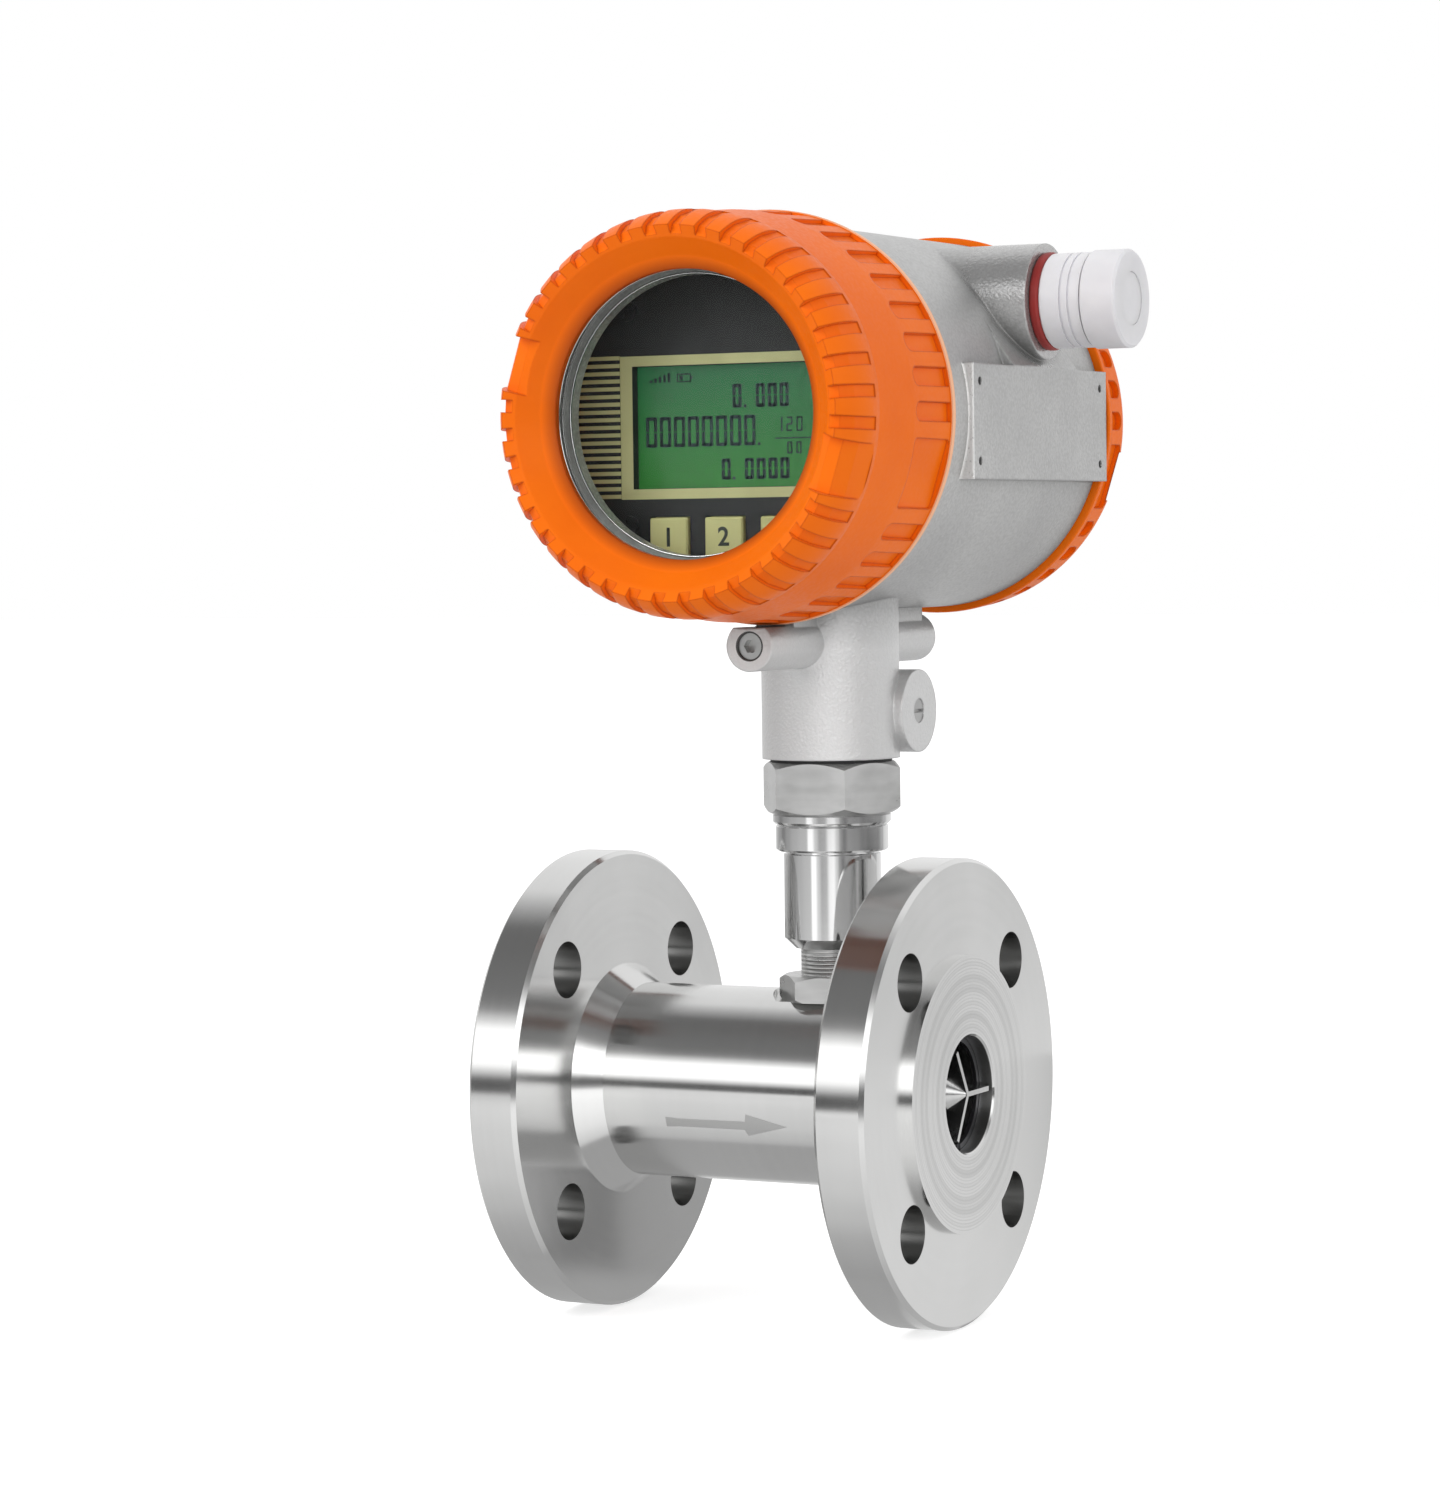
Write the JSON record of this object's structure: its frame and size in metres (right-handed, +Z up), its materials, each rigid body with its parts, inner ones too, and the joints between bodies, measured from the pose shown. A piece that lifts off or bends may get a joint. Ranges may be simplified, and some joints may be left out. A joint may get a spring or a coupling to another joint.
{
  "type": "flow meter",
  "caption": "Flanged turbine flow meter: helical rotor in the bore, pickup stem, and a swivelling display head with screwed orange covers, push keys and a cable gland.",
  "frame": {"origin": "centre of the inlet flange's raised face, on the pipe axis", "axes": "+X with the flow from inlet to outlet, the display faces -Y, +Z up along the pickup"},
  "size_m": [0.1443, 0.1654, 0.2714],
  "materials": {
    "flow_steel": "turned and brushed stainless steel",
    "polished_steel": "polished stainless steel",
    "rotor_steel": "magnetic stainless steel, milled",
    "bush_bronze": "sintered bronze",
    "spring_steel": "spring steel",
    "coil_copper": "enamelled copper winding",
    "magnet_grey": "sintered magnet",
    "housing_grey": "cast aluminium with a grey coat",
    "cover_orange": "cast aluminium with an orange coat",
    "window_clear": "clear tempered glass",
    "ring_grey": "turned aluminium",
    "rubber_black": "black nitrile rubber",
    "seal_red": "dark red rubber",
    "gland_white": "milky white nylon",
    "panel_black": "matt black film on plastic",
    "display_green": "green backlit liquid crystal display",
    "key_khaki": "khaki keycaps",
    "board_green": "circuit board",
    "chip_black": "black moulded components",
    "screw_steel": "zinc plated steel",
    "pillar_brass": "brass pillars",
    "terminal_grey": "grey terminal plastic"
  },
  "bodies": {
    "meter": {"meter_body": "flow_steel", "inlet_guide": "flow_steel", "outlet_guide": "flow_steel", "inlet_ring": "spring_steel", "outlet_ring": "spring_steel", "inlet_bush": "bush_bronze", "outlet_bush": "bush_bronze", "pickup_stem": "flow_steel", "pickup_locknut": "flow_steel", "pickup_magnet": "magnet_grey", "pickup_coil": "coil_copper", "pickup_tube": "polished_steel", "collar_washer": "flow_steel", "coupling_nut": "flow_steel", "neck_gasket": "rubber_black"},
    "rotor": {"rotor": "rotor_steel", "rotor_shaft": "spring_steel"},
    "head": {"housing": "housing_grey", "neck_screw": "screw_steel", "cover_lock_screws": "screw_steel", "front_neck_seal": "rubber_black", "rear_neck_seal": "rubber_black", "display_panel": "panel_black", "display": "display_green", "display_frame": "chip_black", "display_board": "board_green", "main_board": "board_green", "main_components": "chip_black", "board_pillars": "pillar_brass", "panel_screws": "screw_steel", "key_switches": "chip_black", "terminal_block": "terminal_grey", "terminal_screws": "screw_steel", "earth_screw": "screw_steel", "gland_seal": "seal_red", "gland_body": "gland_white", "gland_insert": "rubber_black"},
    "window": {"window_glass": "window_clear", "window_gasket": "rubber_black", "window_ring": "ring_grey"},
    "front_cover": {"front_cover": "cover_orange"},
    "rear_seal": {"rear_gasket": "rubber_black"},
    "rear_cover": {"rear_cover": "cover_orange"},
    "gland_disc": {"gland_disc": "gland_white"},
    "gland_cap": {"gland_cap": "gland_white"},
    "key_1": {"key_1": "key_khaki"},
    "key_2": {"key_2": "key_khaki"},
    "key_3": {"key_3": "key_khaki"}
  },
  "joints": [
    {"name": "rotor_spin", "type": "hinge", "parent": "meter", "child": "rotor", "pos_m": [0.0735, 0, 0], "axis": [1, 0, 0], "continuous": true},
    {"name": "head_swivel", "type": "hinge", "parent": "meter", "child": "head", "pos_m": [0.0735, 0, 0.0817], "axis": [0, 0, 1], "range_deg": [-170, 170]},
    {"name": "front_cover_slide", "type": "slide", "parent": "head", "child": "window", "axis": [0, -1, 0], "range_m": [0, 0.0165]},
    {"name": "front_cover_turn", "type": "hinge", "parent": "window", "child": "front_cover", "pos_m": [0.0735, -0.06, 0.1645], "axis": [0, -1, 0], "range_deg": [0, 3960]},
    {"name": "rear_cover_slide", "type": "slide", "parent": "head", "child": "rear_seal", "axis": [0, 1, 0], "range_m": [0, 0.009]},
    {"name": "rear_cover_turn", "type": "hinge", "parent": "rear_seal", "child": "rear_cover", "pos_m": [0.0735, 0.07, 0.1645], "axis": [0, 1, 0], "range_deg": [0, 2160]},
    {"name": "gland_cap_slide", "type": "slide", "parent": "head", "child": "gland_disc", "axis": [1, 0, 0], "range_m": [0, 0.006]},
    {"name": "gland_cap_turn", "type": "hinge", "parent": "gland_disc", "child": "gland_cap", "pos_m": [0.1395, 0.0243, 0.1929], "axis": [1, 0, 0], "range_deg": [0, 1440]},
    {"name": "key_1_press", "type": "slide", "parent": "head", "child": "key_1", "axis": [0, 1, 0], "range_m": [0, 0.0012], "stiffness_N_per_m": 800, "springref_m": -0.0005},
    {"name": "key_2_press", "type": "slide", "parent": "head", "child": "key_2", "axis": [0, 1, 0], "range_m": [0, 0.0012], "stiffness_N_per_m": 800, "springref_m": -0.0005},
    {"name": "key_3_press", "type": "slide", "parent": "head", "child": "key_3", "axis": [0, 1, 0], "range_m": [0, 0.0012], "stiffness_N_per_m": 800, "springref_m": -0.0005}
  ],
  "couplings": [
    {"joint": "front_cover_slide", "follows": "front_cover_turn", "m_per_rad": 0.00023873},
    {"joint": "rear_cover_slide", "follows": "rear_cover_turn", "m_per_rad": 0.00023873},
    {"joint": "gland_cap_slide", "follows": "gland_cap_turn", "m_per_rad": 0.00023873}
  ]
}
